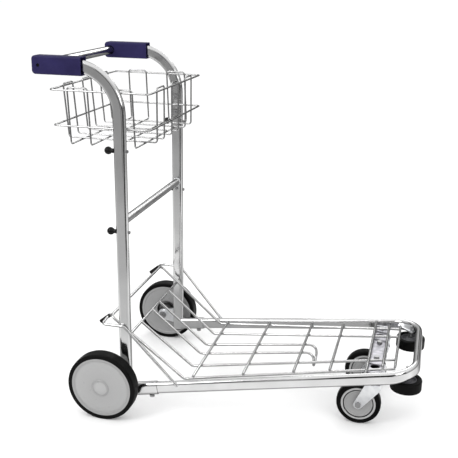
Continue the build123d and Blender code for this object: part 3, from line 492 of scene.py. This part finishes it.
def weld_stay_foot(name, side):
    """Bead between a stay's foot and the rail it stands against."""
    points = side_points("stay_rods", side)
    front = max(point.x for point in points)
    foot = middle_of([point for point in points if point.x > front - STAY_FOOT_LENGTH])
    run = [point for point in points if front - STAY_RUN_FAR < point.x < front - STAY_RUN_NEAR]
    towards = (middle_of(run) - foot).normalized()
    start = foot + Vector((0, -side * STAY_BEAD_INWARD, STAY_BEAD_RISE))
    line = line_points(start, start + STAY_BEAD_LENGTH * towards, STAY_BEAD_POINTS)
    weld_bead(name, line, Vector((0, 1, 0)), STAY_BEAD_RADIUS)


def weld_beam_end(name, side):
    """Bead along the top of the caster beam's end, where it meets the rail."""
    points = side_points("caster_beam", side)
    top = max(point.z for point in points)
    edge = [point for point in points if point.z > top - TOP_TOLERANCE]
    corners = []
    for end in (min(point.x for point in edge), max(point.x for point in edge)):
        outermost = max(abs(point.y) for point in edge if abs(point.x - end) < CORNER_TOLERANCE)
        corners.append(Vector((end, side * outermost, top)))
    line = line_points(*corners, BEAM_BEAD_POINTS)
    weld_bead(name, line, Vector((0, 0, 1)), BEAM_BEAD_RADIUS)


def add_welds():
    for side_name, side in (("right", -1), ("left", 1)):
        weld_brace_end(f"weld_brace_{side_name}", side)
        weld_stay_foot(f"weld_stay_{side_name}", side)
        weld_beam_end(f"weld_beam_{side_name}", side)


# Stage ----------------------------------------------------------------------------------------

CAMERA_PLACE = Vector((0.49305, -2.11493, 1.20785))
CAMERA_YAW = radians(14.591)
CAMERA_PITCH = radians(17.838)
CAMERA_ROLL = radians(0.864)
CAMERA_LENS = 62.02

FLOOR_HALF = 30.0
FLOOR_TONE = 0.93
FLOOR_REACH = 5.0  # distance at which the floor's mirrored tones end
FLOOR_SQUEEZE = (0.3, 1.0, 1.0)  # those tones stretch along the cart
# Painted reflection of the floor, with painted shade under the cart
# (share of FLOOR_REACH, grey)
FLOOR_PAINTED_REFLECTION_TONES = (
    (0.0, 0.40),
    (0.05, 0.40),
    (0.07, 0.82),
    (0.12, 0.66),
    (0.20, 0.40),
    (0.5, 0.29),
    (1.0, 0.29),
)

# Name, place, (width, height)
FLAGS = (
    ("flag_front", (2.6, -1.3, 0.0), (0.7, 2.4)),
    ("flag_side", (-0.7, -3.2, 0.0), (0.35, 2.6)),
    ("flag_rear", (-2.6, 0.6, 0.0), (0.7, 2.4)),
    ("flag_far", (1.2, 3.2, 0.0), (0.5, 2.6)),
    ("flag_near", (0.5, -1.2, 0.0), (0.8, 1.0)),
)
RAYS_PAST_FLAGS = ("camera", "diffuse", "shadow", "transmission")

# (height from straight down to straight up, grey)
STUDIO_TONES = (
    (0.0, 0.55),
    (0.46, 0.50),
    (0.49, 0.22),
    (0.53, 0.08),
    (0.56, 0.42),
    (0.70, 0.60),
    (0.85, 1.0),
    (1.0, 1.0),
)
BACKDROP_STRENGTH = 1.12

LIGHT_TARGET = Vector((-0.05, 0.0, 0.45))
# Name, place, (width, height), power
SOFTBOXES = (
    ("key", (-1.95, -2.4, 2.6), (1.4, 1.4), 40.0),
    ("fill", (2.25, -1.8, 1.8), (1.6, 1.2), 18.0),
    ("back", (0.05, 2.8, 2.4), (2.0, 0.8), 18.0),
)


def add_camera():
    data = bpy.data.cameras.new("camera")
    data.lens = CAMERA_LENS
    camera = bpy.data.objects.new("camera", data)
    turn = (
        Matrix.Rotation(CAMERA_YAW, 4, "Z")
        @ Matrix.Rotation(radians(90) - CAMERA_PITCH, 4, "X")
        @ Matrix.Rotation(CAMERA_ROLL, 4, "Z")
    )
    camera.matrix_world = Matrix.Translation(CAMERA_PLACE) @ turn
    bpy.context.scene.collection.objects.link(camera)
    bpy.context.scene.camera = camera


def stage_sheet(name, corners, material):
    """A flat four-cornered sheet that belongs to the stage and not to the cart."""
    mesh = bpy.data.meshes.new(name)
    mesh.from_pydata(corners, [], [(0, 1, 2, 3)])
    mesh.materials.append(material)
    sheet = bpy.data.objects.new(name, mesh)
    bpy.context.scene.collection.objects.link(sheet)
    return sheet


def add_floor():
    """Pale floor. Its colour in reflections is painted: painted shade under the cart, a painted bright
    band round it and grey further off.
    """
    shader = Shader("floor_paint")
    distance = shader.length(shader.stretched(FLOOR_SQUEEZE))
    share = shader.ranged(distance, 0.0, 1.0, from_low=0.0, from_high=FLOOR_REACH)
    mirrored = shader.stepped(share, FLOOR_PAINTED_REFLECTION_TONES)
    shader.set(
        # painted reflection: glossy rays see the painted tones, all other rays the plain floor
        Base_Color=shader.mixed(shader.is_reflected(), grey(FLOOR_TONE), mirrored),
        Roughness=0.9,
        Specular_IOR_Level=0.1,
    )
    half = FLOOR_HALF
    corners = [(-half, -half, 0), (half, -half, 0), (half, half, 0), (-half, half, 0)]
    stage_sheet("floor", corners, shader.material)


def add_flag(name, place, size):
    """Upright black panel that only reflections see, for the dark lines in the chrome."""
    shader = Shader(name)
    shader.set(Base_Color=grey(0.01), Roughness=0.9, Specular_IOR_Level=0.0)
    width, height = size
    half = width / 2
    corners = [(-half, 0, 0), (half, 0, 0), (half, 0, height), (-half, 0, height)]
    panel = stage_sheet(name, corners, shader.material)
    panel.location = place
    panel.rotation_euler = Vector(place).to_track_quat("Y", "Z").to_euler()
    for ray in RAYS_PAST_FLAGS:
        setattr(panel, f"visible_{ray}", False)


def add_world():
    """White to eye and light; mirrored as bright ceiling, grey walls and a dark line at eye height."""
    world = bpy.data.worlds.new("studio")
    world.use_nodes = True
    nodes = Nodes(world.node_tree)
    direction = nodes.add("ShaderNodeTexCoord").outputs["Generated"]
    upward = nodes.add("ShaderNodeSeparateXYZ", Vector=direction).outputs["Z"]
    height = nodes.ranged(upward, 0.0, 1.0, from_low=-1.0, from_high=1.0)
    studio = world.node_tree.nodes["Background"]
    nodes.fill(studio, Color=nodes.stepped(height, STUDIO_TONES))
    backdrop = nodes.add("ShaderNodeBackground", Color=grey(1.0), Strength=BACKDROP_STRENGTH)
    shaders = (backdrop.outputs["Background"], studio.outputs["Background"])
    mix = nodes.add("ShaderNodeMixShader", Fac=nodes.is_reflected())
    for socket, shader in zip(mix.inputs[1:], shaders):
        nodes.put(socket, shader)
    nodes.fill(world.node_tree.nodes["World Output"], Surface=mix.outputs["Shader"])
    bpy.context.scene.world = world


def add_softbox(name, place, size, power):
    data = bpy.data.lights.new(name, "AREA")
    data.shape = "RECTANGLE"
    data.size, data.size_y = size
    data.energy = power
    light = bpy.data.objects.new(name, data)
    light.location = place
    light.rotation_euler = (LIGHT_TARGET - Vector(place)).to_track_quat("-Z", "Y").to_euler()
    bpy.context.scene.collection.objects.link(light)


dress_cad_nodes()
add_welds()
add_camera()
add_floor()
for flag in FLAGS:
    add_flag(*flag)
add_world()
for softbox in SOFTBOXES:
    add_softbox(*softbox)
bpy.context.scene.view_settings.view_transform = "Standard"

bpy.context.view_layer.update()
